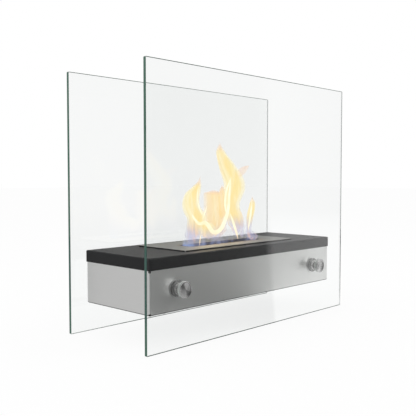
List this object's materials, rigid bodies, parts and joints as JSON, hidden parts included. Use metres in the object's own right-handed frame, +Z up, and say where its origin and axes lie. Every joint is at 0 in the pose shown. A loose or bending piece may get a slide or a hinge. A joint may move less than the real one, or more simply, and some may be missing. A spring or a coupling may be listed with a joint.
{
  "type": "bioethanol fireplace",
  "caption": "Free-standing bioethanol fireplace: a steel casing with a black cover and a lift-out slot burner, held between glass panes on round stand-offs.",
  "frame": {"origin": "on the surface that the panes stand on, midway between the panes and midway along them", "axes": "+X along the panes, towards the right end as seen from the front; -Y out through the front pane; +Z up"},
  "size_m": [0.6, 0.233, 0.5],
  "materials": {
    "clear_glass": "polished clear float glass with green edges",
    "brushed_casing": "brushed",
    "black_cover": "satin black",
    "turned_steel": "turned, satin",
    "burner_steel": "satin",
    "plain_steel": "mill finish",
    "heat_tinted_steel": "heat tinted",
    "zinc_fasteners": "zinc plated",
    "dark_screws": "black oxide",
    "clear_gaskets": "translucent silicone",
    "ceramic_wool": "matt fibre"
  },
  "bodies": {
    "stand": {"glass_front": "clear_glass", "glass_back": "clear_glass", "casing_body": "brushed_casing", "base_plate": "plain_steel", "base_plate_screws": "dark_screws", "top_cover": "black_cover", "cover_rib_front": "black_cover", "cover_rib_back": "black_cover", "cover_studs": "zinc_fasteners", "cover_nuts": "zinc_fasteners", "inner_gaskets": "clear_gaskets", "outer_gaskets": "clear_gaskets", "glass_bushings": "clear_gaskets", "standoff_studs": "zinc_fasteners", "wall_doublers": "plain_steel", "stud_washers": "zinc_fasteners", "stud_nuts": "zinc_fasteners", "standoff_barrel_front_left": "turned_steel", "standoff_cap_front_left": "turned_steel", "standoff_barrel_front_right": "turned_steel", "standoff_cap_front_right": "turned_steel", "standoff_barrel_back_left": "turned_steel", "standoff_cap_back_left": "turned_steel", "standoff_barrel_back_right": "turned_steel", "standoff_cap_back_right": "turned_steel"},
    "burner": {"burner_plate": "burner_steel", "burner_housing": "plain_steel", "fuel_reservoir": "plain_steel", "ceramic_wool": "ceramic_wool", "wool_mesh": "plain_steel", "damper_seat": "heat_tinted_steel", "damper_rail_front": "heat_tinted_steel", "damper_rail_back": "heat_tinted_steel", "damper_rivets": "plain_steel"},
    "damper": {"damper_slide": "heat_tinted_steel", "damper_pin": "turned_steel"}
  },
  "joints": [
    {"name": "burner_lift_out", "type": "slide", "parent": "stand", "child": "burner", "axis": [0, 0, 1], "range_m": [0, 0.42]},
    {"name": "damper_slide", "type": "slide", "parent": "burner", "child": "damper", "axis": [-1, 0, 0], "range_m": [0, 0.012]}
  ]
}
